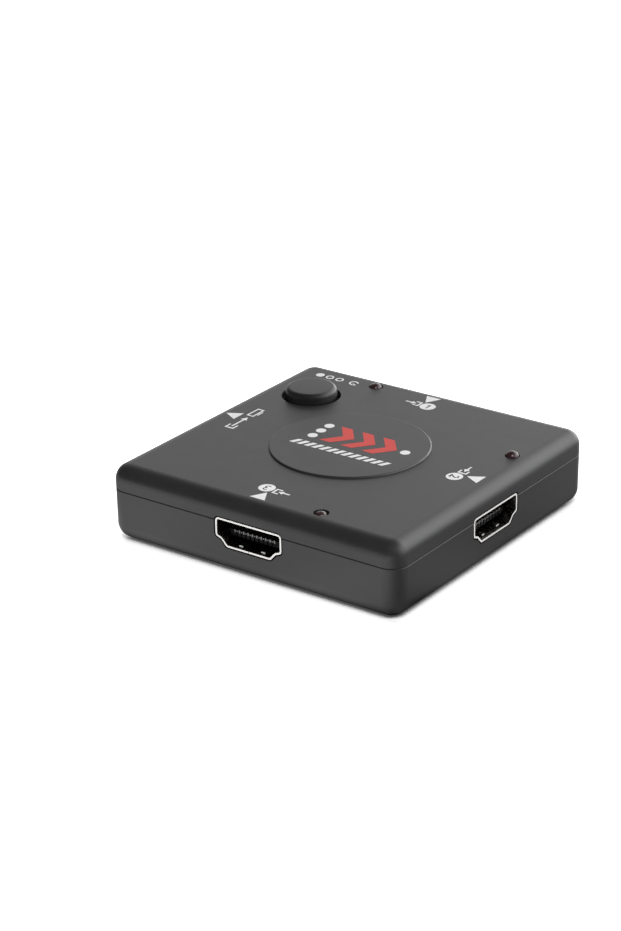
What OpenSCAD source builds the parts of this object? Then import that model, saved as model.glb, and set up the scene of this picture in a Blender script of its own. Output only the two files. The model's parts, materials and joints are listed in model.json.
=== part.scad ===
// Small square switch box: three video inputs, one output, a select button and three indicator lamps.
// Millimetres. The origin is the middle of the underside, with Z up.
// Input 3 faces -Y, input 2 faces +X, input 1 faces +Y and the output faces -X.

/* [Case] */
// Width of the case along X
body_w = 65.6; // [61:0.1:90]
// Depth of the case along Y
body_d = 65.6; // [61:0.1:90]
// Height of the case to its top face
body_h = 15.1; // [14.8:0.1:17]
// Radius of the upright corners
corner_r = 3.4; // [3.4:0.1:4]
// Radius of the rounded top edge
top_r = 3; // [1.5:0.1:3.2]
// Height of the parting line above the underside
seam_z = 10.25; // [9.6:0.05:10.5]
// Thickness of the side walls
wall_t = 1.8; // [1.5:0.1:2]
// Thickness of the floor
floor_t = 1.6; // [1.5:0.1:1.8]
// Thickness of the top
top_t = 1.6; // [1.4:0.1:1.8]
// Inward lean of each bottom wall over its height
draft = 0.1; // [0:0.05:0.2]
// Radius of the rounded bottom edge
foot_r = 3.2; // [1:0.1:3.2]
// Size of the small bevel on both sides of the parting line
seam_bevel = 0.07; // [0.05:0.01:0.2]
// Open height of the parting line
seam_gap = 0.1; // [0.05:0.01:0.2]
// Height of the locating lip inside the parting line
lip_h = 1; // [0.6:0.1:1.2]
// Width of the ledge outside the locating lip
lip_ledge = 1; // [0.8:0.1:1.1]
// Clearance round the locating lip
lip_gap = 0.12; // [0.05:0.01:0.2]

/* [Raised pad] */
// Diameter of the raised round pad on the top
pad_d = 31.2; // [20:0.1:33]
// Height of the raised pad
pad_rise = 0.35; // [0.3:0.05:0.8]
// Radius of the rounded edge of the pad
pad_edge = 0.3; // [0.1:0.05:0.3]

/* [Screws] */
// Distance of each screw from the two nearest faces
screw_inset = 6; // [5.8:0.1:7]
// Diameter of the screw shank
screw_d = 2; // [1.8:0.1:2.2]
// Length of the screw shank
screw_len = 9; // [7:0.5:10]
// Diameter of the screw head
head_d = 3.6; // [3.2:0.1:3.8]
// Height of the screw head
head_h = 1.2; // [1:0.1:1.3]
// Depth of the head below the underside of the case
head_sink = 0.3; // [0.2:0.1:0.5]
// Outer diameter of the screw posts
post_d = 5.4; // [4.8:0.1:6]
// Clearance round the screw head and shank
screw_gap = 0.2; // [0.1:0.05:0.3]

/* [Main board] */
// Thickness of the circuit board
board_t = 1.6; // [1.2:0.1:1.6]
// Height of the board's underside above the floor
board_lift = 2.1; // [1.9:0.05:2.3]
// Clearance between the board's edge and the walls
board_gap = 0.5; // [0.3:0.1:0.8]
// Clearance round leads and tabs in the board
lead_gap = 0.15; // [0.1:0.05:0.25]
// Length of leads and tabs below the board
lead_tail = 0.55; // [0.3:0.05:0.6]

/* [Sockets] */
// Outer width of a socket shell
sock_w = 15; // [14.8:0.1:15.2]
// Outer height of a socket shell
sock_h = 5.55; // [5.4:0.05:5.7]
// Front edge thickness of a socket shell
sock_wall = 0.35; // [0.3:0.05:0.45]
// Length of a socket shell
sock_len = 11.5; // [10.5:0.5:12]
// Width of the narrow floor of a socket shell
sock_foot = 10; // [9.6:0.1:10.4]
// Width of a socket shell at the inner end of its step
sock_waist = 12.4; // [12:0.1:12.8]
// Height of the inner end of the step
step_low = 1.35; // [1.2:0.05:1.5]
// Height of the outer end of the step
step_high = 1.85; // [1.7:0.05:2]
// Radius of the upper corners of a socket shell
sock_r = 0.8; // [0.6:0.1:1]
// Radius of the lower corners and steps of a socket shell
step_r = 0.6; // [0.5:0.05:0.7]
// Distance of the socket front behind the case face
sock_back = 0.1; // [0.05:0.05:0.2]
// Clearance between a socket shell and the case
sock_gap = 0.3; // [0.15:0.05:0.35]
// Distance of the tongue tip behind the socket front
tongue_in = 2; // [1.9:0.1:2.5]
// Width of the tongue
tongue_w = 11.2; // [10.6:0.1:11.4]
// Height of the tongue's lower face above the socket floor
tongue_low = 1.7; // [1.6:0.1:1.9]
// Thickness of the tongue
tongue_t = 1.2; // [1:0.1:1.3]
// Length of the solid block behind the tongue
block_len = 4; // [3:0.5:4.5]
// Spacing of the contacts in each row
pitch = 1; // [0.95:0.01:1]
// Width of one contact
contact_w = 0.3; // [0.24:0.02:0.32]
// Thickness of one contact
contact_t = 0.2; // [0.15:0.05:0.2]
// Distance of the two floor springs from the middle
spring_x = 2.5; // [2:0.1:3]
// Width of a floor spring
spring_w = 0.9; // [0.8:0.1:1.4]
// Width of the folded shell's closing seam
fold_gap = 0.1; // [0.06:0.02:0.2]

/* [Button] */
// Distance of the button from the left face
button_left = 11.4; // [11:0.1:12.5]
// Distance of the button from the back face
button_back = 15.7; // [15:0.1:16.5]
// Diameter of the button where it meets the top face
button_d = 10.5; // [10.3:0.1:10.8]
// Diameter of the button's top inside its rounded rim
button_top_d = 8.4; // [7.8:0.1:8.4]
// Height of the button above the top face
button_rise = 2; // [1.4:0.1:2.5]
// Height of the crown of the button's top
button_crown = 0.04; // [0.02:0.01:0.1]
// Clearance between the button and its hole
button_gap = 0.7; // [0.6:0.05:0.8]
// Width of the flange that keeps the button in
flange_w = 1.6; // [1.4:0.1:1.7]
// Thickness of the flange
flange_t = 1; // [0.8:0.1:1.2]
// Travel of the button
press = 0.3; // [0.2:0.05:0.3]

/* [Push switch] */
// Side of the square push switch
tact_w = 6; // [5.8:0.1:6.2]
// Height of the switch base
tact_base_h = 3.2; // [3:0.1:3.4]
// Height of the plunger top above the board
tact_h = 6; // [5.6:0.1:6.4]
// Diameter of the plunger
plunger_d = 3.5; // [3:0.1:3.6]
// Thickness of the switch's metal cover
tact_cover_t = 0.25; // [0.2:0.05:0.3]
// Diameter of the snap dome
dome_d = 4; // [3.6:0.1:4.2]
// Height of the snap dome
dome_h = 0.45; // [0.45:0.05:0.5]
// Running clearance inside the switch and under the button
play = 0.06; // [0.04:0.01:0.1]

/* [Lamps] */
// Distance of each lamp from the middle of its side
lamp_off = 13.2; // [12:0.1:15]
// Distance of each lamp from its nearest face
lamp_inset = 4.75; // [4.4:0.05:5.2]
// Diameter of a lamp lens
lamp_d = 2.7; // [2.6:0.1:3]
// Overall height of a lamp lens
lamp_h = 5.3; // [4.8:0.1:5.5]
// Height of lamp 1 above the top face
lamp_1_proud = 0.7; // [0.2:0.05:1]
// Height of lamp 2 above the top face
lamp_2_proud = 0.95; // [0.2:0.05:1]
// Height of lamp 3 above the top face
lamp_3_proud = 0.25; // [0.2:0.05:1]
// Distance by which lamps 1 and 3 lean to the left in their holes
lamp_slip = 0.09; // [0:0.01:0.1]
// Clearance round a lamp in its hole
lamp_gap = 0.12; // [0.12:0.01:0.25]
// Spacing of a lamp's two leads
lamp_pitch = 2.54; // [2.4:0.02:2.6]
// Side of a square lamp lead
lamp_lead = 0.5; // [0.4:0.05:0.55]

/* [Chips] */
// Side of the square switching chip
chip_w = 10; // [9:0.5:12]
// Thickness of the switching chip
chip_h = 1.4; // [1:0.1:1.6]
// Leads along each side of the switching chip
chip_leads = 16; // [12:1:16]
// Spacing of the switching chip's leads
chip_pitch = 0.5; // [0.45:0.01:0.5]
// Length of a chip resistor or capacitor
smd_l = 1.6; // [1.4:0.1:2]
// Width of a chip resistor or capacitor
smd_w = 0.8; // [0.6:0.1:1]

/* [Hidden] */
$fn = 48;
// A cut runs past the solid by this much
over = 0.5;
board_bottom = floor_t + board_lift;
board_top = board_bottom + board_t;
ceiling = body_h - top_t;
inner_w = body_w - 2 * wall_t;
inner_d = body_d - 2 * wall_t;
board_w = inner_w - 2 * board_gap;
board_d = inner_d - 2 * board_gap;
board_r = max(corner_r - wall_t, 0.5);
button_x = -body_w / 2 + button_left;
button_y = body_d / 2 - button_back;
tail_z = board_bottom - lead_tail;
screw_end = head_sink + head_h + screw_len;

// Each face has a number, its quarter turns from the -Y face
// Input 3 is 0, input 2 is 1, input 1 is 2 and the output is 3

// Half the size across which the face of a quarter turn stands from the middle
function face_at(k) = (k % 2 == 0 ? body_d : body_w) / 2;

// Turns the -Y face's own frame to the face k, with its origin on the face at the underside
module on_face(k) {
    rotate([0, 0, 90 * k]) translate([0, -face_at(k), 0]) children();
}

// Sweeps a half section (x outward from the corner axis, y up) round a rectangle with round corners
module ring(w, d, r) {
    for (k = [0:3]) {
        reach = (k % 2 == 0 ? w : d) / 2 - r;
        run = (k % 2 == 0 ? d : w) - 2 * r;
        rotate([0, 0, 90 * k]) translate([reach, run / 2, 0]) rotate([90, 0, 0])
            linear_extrude(height = run) children();
        rotate([0, 0, 90 * k]) translate([reach, run / 2, 0])
            rotate_extrude(angle = 90) children();
    }
}

// A flat plate with round corners
module plate(w, d, r, h) {
    linear_extrude(height = h) {
        square([w - 2 * r, d], center = true);
        square([w, d - 2 * r], center = true);
        for (sx = [-1, 1], sy = [-1, 1]) translate([sx * (w / 2 - r), sy * (d / 2 - r)]) circle(r);
    }
}

// Outward unit normal of the edge from p to q of an anticlockwise outline
function edge_normal(p, q) = [q[1] - p[1], p[0] - q[0]] / norm(q - p);

// The outline grown by g on every edge
function grown(pts, g) = [
    for (i = [0:len(pts) - 1])
        let (n = len(pts),
             a = edge_normal(pts[(i + n - 1) % n], pts[i]),
             b = edge_normal(pts[i], pts[(i + 1) % n]))
        pts[i] + g * (a + b) / (1 + a * b)
];

function arc(x, y, r, a0, a1, steps) = [
    for (i = [0:steps]) let (a = a0 + (a1 - a0) * i / steps) [x + r * cos(a), y + r * sin(a)]
];

// The corner p between its neighbours a and b, rounded to the radius r
function eased(a, p, b, r) =
    let (u = (a - p) / norm(a - p), v = (b - p) / norm(b - p),
         half = acos(u * v) / 2,
         c = p + (u + v) / norm(u + v) * r / sin(half),
         s = p + u * r / tan(half) - c,
         e = p + v * r / tan(half) - c,
         a0 = atan2(s[1], s[0]),
         sweep = atan2(s[0] * e[1] - s[1] * e[0], s * e))
    arc(c[0], c[1], r, a0, a0 + sweep, 3);

// Outline of a socket shell seen from its front, from the board upward
foot_p = [sock_foot / 2, 0];
waist_p = [sock_waist / 2, step_low];
step_p = [sock_w / 2, step_high];
half_outline = concat(
    eased([0, 0], foot_p, waist_p, step_r),
    eased(foot_p, waist_p, step_p, step_r),
    eased(waist_p, step_p, [sock_w / 2, sock_h], step_r),
    arc(sock_w / 2 - sock_r, sock_h - sock_r, sock_r, 0, 90, 5)
);
sock_outline = concat(half_outline, [
    for (i = [len(half_outline) - 1:-1:0]) [-half_outline[i][0], half_outline[i][1]]
]);

// A prism of a socket-shaped outline, from depth y0 to y1 behind the case face
module sock_prism(g, y0, y1) {
    translate([0, y1, board_top]) rotate([90, 0, 0]) linear_extrude(height = y1 - y0)
        polygon(grown(sock_outline, g));
}

// An upright section (depth, height above the board) made w wide round x
module sock_slice(x, w, pts) {
    translate([x - w / 2, 0, board_top]) rotate([90, 0, 90]) linear_extrude(height = w) polygon(pts);
}

// Lower half of the case

module bottom_section() {
    foot_x = corner_r - draft - foot_r;
    difference() {
        union() {
            polygon([
                [0, 0], [foot_x, 0], [corner_r - draft, foot_r],
                [corner_r, seam_z - seam_bevel], [corner_r - seam_bevel, seam_z],
                [corner_r - lip_ledge, seam_z], [corner_r - lip_ledge, seam_z + lip_h], [0, seam_z + lip_h]
            ]);
            translate([foot_x, foot_r]) intersection() {
                circle(foot_r);
                translate([0, -foot_r]) square(foot_r);
            }
        }
        translate([-over, floor_t]) square([corner_r - wall_t + over, seam_z + lip_h]);
    }
}

// Places its children at each of the four screws
module at_screw(i) {
    sx = (i == 0 || i == 3) ? -1 : 1;
    sy = i < 2 ? -1 : 1;
    translate([sx * (body_w / 2 - screw_inset), sy * (body_d / 2 - screw_inset), 0]) children();
}

module bottom_case() {
    color("#4a4a4c") difference() {
        union() {
            ring(body_w, body_d, corner_r) bottom_section();
            translate([corner_r - body_w / 2, corner_r - body_d / 2, 0])
                cube([body_w - 2 * corner_r, body_d - 2 * corner_r, floor_t]);
            for (i = [0:3]) at_screw(i) cylinder(h = board_bottom, d = post_d + 1);
        }
        for (k = [0:3]) on_face(k) sock_prism(sock_gap, -over, wall_t + over);
        for (i = [0:3]) at_screw(i) {
            translate([0, 0, -over]) cylinder(h = over + head_sink + head_h, d = head_d + 2 * screw_gap);
            cylinder(h = board_bottom + over, d = screw_d + 2 * screw_gap);
        }
    }
}

// Upper half of the case

module cover_section() {
    rim_z = seam_z + seam_gap;
    difference() {
        union() {
            translate([0, rim_z]) square([corner_r, body_h - top_r - rim_z]);
            translate([0, rim_z]) square([corner_r - top_r, body_h - rim_z]);
            translate([corner_r - top_r, body_h - top_r]) intersection() {
                circle(top_r);
                square(top_r);
            }
        }
        translate([-over, seam_z - over]) square([corner_r - wall_t + over, ceiling - seam_z + over]);
        translate([-over, seam_z - over])
            square([corner_r - lip_ledge + lip_gap + over, over + lip_h + lip_gap]);
        polygon([
            [corner_r + over, rim_z - over], [corner_r + over, rim_z + seam_bevel + over],
            [corner_r, rim_z + seam_bevel], [corner_r - seam_bevel, rim_z],
            [corner_r - seam_bevel - over, rim_z - over]
        ]);
    }
}

module lamp_at(i) {
    if (i == 1) translate([-lamp_off, body_d / 2 - lamp_inset, 0]) children();
    if (i == 2) translate([body_w / 2 - lamp_inset, lamp_off, 0]) children();
    if (i == 3) translate([lamp_off, lamp_inset - body_d / 2, 0]) children();
}

module top_cover() {
    color("#5c5c5e") difference() {
        union() {
            ring(body_w, body_d, corner_r) cover_section();
            translate([corner_r - body_w / 2, corner_r - body_d / 2, ceiling])
                cube([body_w - 2 * corner_r, body_d - 2 * corner_r, top_t]);
            translate([0, 0, body_h - top_t / 2]) rotate_extrude($fn = 96) union() {
                square([pad_d / 2 - pad_edge, top_t / 2 + pad_rise]);
                square([pad_d / 2, top_t / 2 + pad_rise - pad_edge]);
                translate([pad_d / 2 - pad_edge, top_t / 2 + pad_rise - pad_edge]) intersection() {
                    circle(pad_edge);
                    square(pad_edge);
                }
            }
            for (i = [0:3]) at_screw(i) translate([0, 0, board_top])
                cylinder(h = ceiling - board_top + top_t / 2, d = post_d);
        }
        for (k = [0:3]) on_face(k) sock_prism(sock_gap, -over, wall_t + over);
        translate([button_x, button_y, ceiling - over])
            cylinder(h = top_t + 2 * over, d = button_d + 2 * button_gap);
        for (i = [1:3]) lamp_at(i) translate([0, 0, ceiling - over])
            cylinder(h = top_t + 2 * over, d = lamp_d + 2 * lamp_gap);
        for (i = [0:3]) at_screw(i) translate([0, 0, board_top - over])
            cylinder(h = over + screw_end + 0.6 - board_top, d = screw_d + screw_gap / 2);
    }
}

// Screws that join the halves from below

module screw(i) {
    slot_w = 0.5;
    slot_l = 0.65 * head_d;
    color("#b8b8bc") at_screw(i) difference() {
        union() {
            translate([0, 0, head_sink]) cylinder(h = head_h, d = head_d);
            translate([0, 0, head_sink + head_h - over]) cylinder(h = screw_len + over, d = screw_d);
        }
        translate([-slot_l / 2, -slot_w / 2, head_sink - over]) cube([slot_l, slot_w, over + 0.6 * head_h]);
        translate([-slot_w / 2, -slot_l / 2, head_sink - over]) cube([slot_w, slot_l, over + 0.6 * head_h]);
    }
}

// Select button: a hollow cap with a keeping flange and a middle stem

flange_z = ceiling - 0.15;
button_edge = 1;
button_wall = 1.1;
stem_d = 4.4;
crown_r = (pow(button_top_d / 2, 2) + pow(button_crown, 2)) / (2 * button_crown);
// Lean of the crown where it runs into the rounded rim
crown_turn = asin(button_top_d / 2 / (crown_r - button_edge));
stem_z = board_top + tact_h + play;

module select_button() {
    crown_z = body_h + button_rise - crown_r;
    edge_z = crown_z + (crown_r - button_edge) * cos(crown_turn);
    color("#2e2e30") translate([button_x, button_y, 0]) difference() {
        rotate_extrude($fn = 96) polygon(concat(
            [[0, stem_z], [stem_d / 2, stem_z], [stem_d / 2, flange_z - flange_t]],
            [
                [button_d / 2 + flange_w, flange_z - flange_t], [button_d / 2 + flange_w, flange_z],
                [button_d / 2, flange_z], [button_d / 2, body_h]
            ],
            arc(button_top_d / 2, edge_z, button_edge, 6, 90 - crown_turn, 14),
            [for (i = [5:-1:0]) let (a = crown_turn * i / 6)
                [crown_r * sin(a), crown_z + crown_r * cos(a)]]
        ));
        translate([0, 0, flange_z - flange_t - over]) difference() {
            cylinder(h = body_h + button_rise - button_wall - flange_z + flange_t + over,
                d = button_top_d - 2 * button_wall + 0.8);
            translate([0, 0, -over]) cylinder(h = body_h, d = stem_d);
        }
    }
}

// Circuit board

// The two tab depths of a socket shell, measured from the case face
tab_y = [sock_back + 4, sock_back + sock_len - 2];
tab_x = (sock_w - sock_wall) / 2;
tab_l = 1.4;

module main_board() {
    color("#1f6b3a") difference() {
        translate([0, 0, board_bottom]) plate(board_w, board_d, board_r, board_t);
        for (i = [0:3]) at_screw(i) translate([0, 0, board_bottom - over])
            cylinder(h = board_t + 2 * over, d = screw_d + 2 * screw_gap);
        for (k = [0:3], y = tab_y, s = [-1, 1]) on_face(k)
            translate([s * tab_x, y, board_bottom + board_t / 2])
            cube([sock_wall + 2 * lead_gap, tab_l + 2 * lead_gap, board_t + 2 * over], center = true);
        for (i = [1:3], s = [-1, 1]) lamp_lead_at(i, s) translate([0, 0, board_bottom - over])
            cylinder(h = board_t + 2 * over, d = lamp_lead * sqrt(2) + lead_gap);
        for (sx = [-1, 1], sy = [-1, 1])
            translate([button_x + sx * leg_x, button_y + sy * leg_y, board_bottom - over])
            cylinder(h = board_t + 2 * over, d = leg_w + 2 * lead_gap);
    }
}

// Sockets

module socket_shell(k) {
    slot_end = sock_back + 6.8;
    slot_start = sock_back + 0.8;
    color("#d8d8dc") on_face(k) {
        difference() {
            sock_prism(0, sock_back, sock_back + sock_len);
            sock_prism(-sock_wall, sock_back - over, sock_back + sock_len + over);
            for (s = [-1, 1])
                translate([s * spring_x - spring_w / 2 - 0.3, slot_start, board_top - over])
                cube([spring_w + 0.6, slot_end - slot_start, sock_wall + 2 * over]);
            translate([-fold_gap / 2, sock_back - over, board_top - over])
                cube([fold_gap, sock_len + 2 * over, sock_wall + 2 * over]);
        }
        // Floor springs, fixed at their rear ends
        for (s = [-1, 1]) sock_slice(s * spring_x, spring_w, [
            [slot_start + 0.35, 0.2], [slot_start + 1.8, 0.4], [slot_end + 0.1, 0.1],
            [slot_end + 0.1, 0.4], [slot_start + 1.8, 0.7], [slot_start + 0.35, 0.52]
        ]);
        // Solder tabs through the board
        for (y = tab_y, s = [-1, 1])
            translate([s * tab_x - sock_wall / 2, y - tab_l / 2, tail_z])
            cube([sock_wall, tab_l, board_top + step_high + 0.3 - tail_z]);
    }
}

contact_top = tongue_low + tongue_t + 0.05;
// Heights above the board of the undersides of the upper and lower contact strips
upper_z = contact_top - contact_t;
lower_z = tongue_low - 0.05;
contact_fit = 0.03;
contact_tip = sock_back + tongue_in;
// Height above the board of the lower row's tips, which turn up through the nose of the tongue
tip_top = contact_top - 0.2;
// Depth of that turn behind the nose
tip_turn = 0.4;
turn_end = tip_turn + contact_t;
// Length by which the upper row's tips turn down over the nose
tip_drop = 0.35;
rear = sock_back + sock_len;
tail_len = 1.2;

// Middle positions across the socket of the upper and lower contact rows
upper_row = [for (i = [0:9]) (i - 4.5) * pitch];
lower_row = [for (i = [0:8]) (i - 4) * pitch];

module socket_insulator(k) {
    fit = sock_wall + 0.03;
    slot_w = contact_w + 2 * contact_fit;
    color("#151517") on_face(k) difference() {
        union() {
            sock_prism(-fit, rear - block_len, rear);
            translate([-tongue_w / 2, sock_back + tongue_in, board_top + tongue_low])
                cube([tongue_w, sock_len - tongue_in - over, tongue_t]);
        }
        for (x = upper_row) {
            translate([x - slot_w / 2, sock_back, board_top + upper_z - contact_fit])
                cube([slot_w, sock_len + over, contact_t + 2 * contact_fit]);
            translate([x - slot_w / 2, sock_back, board_top + upper_z - tip_drop - contact_fit])
                cube([slot_w, tongue_in + contact_t + contact_fit, tip_drop + contact_t]);
        }
        for (x = lower_row) {
            translate([x - slot_w / 2, sock_back, board_top + lower_z - contact_fit])
                cube([slot_w, sock_len + over, contact_t + 2 * contact_fit]);
            translate([x - slot_w / 2, sock_back, board_top + lower_z - contact_fit])
                cube([slot_w, tongue_in + turn_end + contact_fit, tip_top - lower_z + 2 * contact_fit]);
        }
    }
}

// Rear end of a contact's section, from its strip at height z0 down to the tail on the board and back up
function contact_rear(z0) = [
    [rear + 0.3, z0], [rear + 0.3, 0], [rear + 0.3 + tail_len, 0], [rear + 0.3 + tail_len, contact_t],
    [rear + 0.3 + contact_t, contact_t], [rear + 0.3 + contact_t, z0 + contact_t]
];
upper_section = concat(
    [
        [contact_tip, upper_z - tip_drop], [contact_tip + contact_t, upper_z - tip_drop],
        [contact_tip + contact_t, upper_z]
    ],
    contact_rear(upper_z),
    [[contact_tip, upper_z + contact_t]]
);
lower_section = concat(
    [
        [contact_tip, tip_top - contact_t], [contact_tip + tip_turn, tip_top - contact_t],
        [contact_tip + tip_turn, lower_z]
    ],
    contact_rear(lower_z),
    [
        [contact_tip + turn_end, lower_z + contact_t], [contact_tip + turn_end, tip_top],
        [contact_tip, tip_top]
    ]
);

module socket_contacts(k) {
    color("#d9b45a") on_face(k) {
        for (x = upper_row) sock_slice(x, contact_w, upper_section);
        for (x = lower_row) sock_slice(x, contact_w, lower_section);
    }
}

// Indicator lamps

// Height of the underside of lamp i
function lamp_z(i) = body_h - lamp_h + (i == 1 ? lamp_1_proud : i == 2 ? lamp_2_proud : lamp_3_proud);

// Place of lamp i itself, which may lean in its hole
module lens_at(i) {
    translate([i == 2 ? 0 : -lamp_slip, 0, 0]) lamp_at(i) children();
}

module lamp_lens(i) {
    rim_w = 0.4;
    rim_h = 1;
    color("#5a1414") lens_at(i) translate([0, 0, lamp_z(i)]) rotate_extrude() union() {
        square([lamp_d / 2 + rim_w, rim_h]);
        square([lamp_d / 2, lamp_h - lamp_d / 2]);
        translate([0, lamp_h - lamp_d / 2]) intersection() {
            circle(lamp_d / 2);
            square(lamp_d / 2);
        }
    }
}

// Places its children at one of the two leads of lamp i
module lamp_lead_at(i, s) {
    across = i == 2 ? [0, s * lamp_pitch / 2, 0] : [s * lamp_pitch / 2, 0, 0];
    lens_at(i) translate(across) children();
}

module lamp_leads(i) {
    color("#c4c4c8") for (s = [-1, 1]) lamp_lead_at(i, s)
        translate([-lamp_lead / 2, -lamp_lead / 2, tail_z])
        cube([lamp_lead, lamp_lead, lamp_z(i) - tail_z]);
}

// Push switch under the button

pit_z = board_top + 1.4;
pit_d = dome_d + 0.5;
nub_z = pit_z + dome_h + play;
leg_x = tact_w / 2 + 0.25;
leg_y = 2.25;
leg_w = 0.7;
leg_t = 0.3;

module push_switch_base() {
    color("#18181a") translate([button_x, button_y, 0]) difference() {
        translate([-tact_w / 2, -tact_w / 2, board_top]) cube([tact_w, tact_w, tact_base_h]);
        translate([0, 0, pit_z]) cylinder(h = tact_base_h, d = pit_d);
    }
}

module push_switch_cover() {
    clip_w = 3;
    clip_h = 1.6;
    clip_t = 0.2;
    top = board_top + tact_base_h;
    color("#c9c9cd") translate([button_x, button_y, 0]) {
        difference() {
            translate([-tact_w / 2, -tact_w / 2 - clip_t, top])
                cube([tact_w, tact_w + 2 * clip_t, tact_cover_t]);
            translate([0, 0, top - over]) cylinder(h = tact_cover_t + 2 * over, d = plunger_d + 4 * play);
        }
        for (s = [-1, 1])
            translate([-clip_w / 2, s * (tact_w + clip_t) / 2 - clip_t / 2, top - clip_h])
            cube([clip_w, clip_t, clip_h + tact_cover_t / 2]);
    }
}

module push_switch_plunger() {
    collar_top = board_top + tact_base_h - play;
    collar_z = nub_z + press + 0.1;
    color("#2a2a2c") translate([button_x, button_y, 0]) {
        translate([0, 0, nub_z]) cylinder(h = 1, d = dome_d / 3);
        translate([0, 0, collar_z]) cylinder(h = collar_top - collar_z, d = pit_d - 4 * play);
        translate([0, 0, collar_z]) cylinder(h = board_top + tact_h - collar_z, d = plunger_d);
    }
}

module push_switch_dome() {
    t = 0.1;
    steps = 6;
    color("#d0cfc8") translate([button_x, button_y, pit_z]) rotate_extrude() polygon(concat(
        [for (i = [0:steps]) let (r = dome_d / 2 * (1 - i / steps))
            [r, dome_h * (1 - pow(2 * r / dome_d, 2))]],
        [for (i = [steps:-1:0]) let (r = (dome_d / 2 - 2 * t) * (1 - i / steps))
            [r, (dome_h - t) * (1 - pow(r / (dome_d / 2 - 2 * t), 2))]]
    ));
}

module push_switch_terminals() {
    shoulder = board_top + 0.8;
    bridge = leg_x - tact_w / 2;
    color("#c4c4c8") translate([button_x, button_y, 0]) for (sx = [-1, 1], sy = [-1, 1]) {
        translate([sx * leg_x - leg_t / 2, sy * leg_y - leg_w / 2, tail_z])
            cube([leg_t, leg_w, shoulder - tail_z]);
        translate([sx * (leg_x + tact_w / 2) / 2 - bridge / 2, sy * leg_y - leg_w / 2, shoulder - leg_t])
            cube([bridge, leg_w, leg_t]);
    }
}

// Chips on the board

chip_lift = 0.1;
lead_reach = 1;
lead_t = 0.15;

module switch_chip() {
    color("#222224") difference() {
        translate([-chip_w / 2, -chip_w / 2, board_top + chip_lift]) cube([chip_w, chip_w, chip_h]);
        translate([1.2 - chip_w / 2, 1.2 - chip_w / 2, board_top + chip_lift + chip_h - 0.1])
            cylinder(h = over, d = 0.8);
    }
}

module switch_chip_leads() {
    mid = chip_lift + chip_h / 2;
    color("#c4c4c8") for (k = [0:3], i = [0:chip_leads - 1])
        rotate([0, 0, 90 * k])
        translate([(i - (chip_leads - 1) / 2) * chip_pitch - 0.11, chip_w / 2, board_top])
        rotate([90, 0, 90]) linear_extrude(height = 0.22) polygon([
            [0, mid], [0, mid + lead_t], [0.45, mid + lead_t], [0.6, lead_t], [lead_reach, lead_t],
            [lead_reach, 0], [0.45, 0], [0.3, mid]
        ]);
}

reg_x = 17;
reg_y = 17;
reg_w = 6.5;
reg_d = 3.5;
reg_h = 1.6;

module regulator() {
    color("#222224") translate([reg_x - reg_w / 2, reg_y - reg_d / 2, board_top + 0.05])
        cube([reg_w, reg_d, reg_h]);
}

module regulator_leads() {
    color("#c4c4c8") translate([reg_x, reg_y, board_top]) {
        for (x = [-2.3, 0, 2.3]) translate([x - 0.35, -reg_d / 2 - 1.2, 0]) cube([0.7, 1.2, 0.3]);
        translate([-1.5, reg_d / 2, 0]) cube([3, 1.2, 0.3]);
    }
}

module smd(x, y, turn, h) {
    translate([x, y, board_top]) rotate([0, 0, turn]) translate([-smd_l / 2, -smd_w / 2, 0])
        cube([smd_l, smd_w, h]);
}

res_off = 3.2;
res_space = 2;
res_h = 0.45;
cap_off = 3;
cap_h = 0.8;
reg_cap_gap = 1.35;

module chip_resistors() {
    color("#2b2b2e") for (k = [0:3], i = [-2:2])
        rotate([0, 0, 90 * k]) smd(i * res_space, -chip_w / 2 - res_off, 90, res_h);
}

module chip_capacitors() {
    color("#b08d63") {
        for (k = [0:3]) rotate([0, 0, 90 * k]) smd(chip_w / 2 + cap_off, -chip_w / 2 - cap_off, 0, cap_h);
        for (s = [-1, 1]) smd(reg_x + s * (reg_w / 2 + reg_cap_gap), reg_y, 90, cap_h);
    }
}

bottom_case();
top_cover();
select_button();
main_board();
socket_shell(2);  // in_1_shell
socket_insulator(2);  // in_1_insulator
socket_contacts(2);  // in_1_contacts
socket_shell(1);  // in_2_shell
socket_insulator(1);  // in_2_insulator
socket_contacts(1);  // in_2_contacts
socket_shell(0);  // in_3_shell
socket_insulator(0);  // in_3_insulator
socket_contacts(0);  // in_3_contacts
socket_shell(3);  // out_shell
socket_insulator(3);  // out_insulator
socket_contacts(3);  // out_contacts
lamp_lens(1);  // lamp_1_lens
lamp_leads(1);  // lamp_1_leads
lamp_lens(2);  // lamp_2_lens
lamp_leads(2);  // lamp_2_leads
lamp_lens(3);  // lamp_3_lens
lamp_leads(3);  // lamp_3_leads
push_switch_base();
push_switch_cover();
push_switch_plunger();
push_switch_dome();
push_switch_terminals();
switch_chip();
switch_chip_leads();
regulator();
regulator_leads();
chip_resistors();
chip_capacitors();
screw(0);  // screw_1
screw(1);  // screw_2
screw(2);  // screw_3
screw(3);  // screw_4
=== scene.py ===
import json
import math

import bpy
from mathutils import Matrix, Vector

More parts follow.
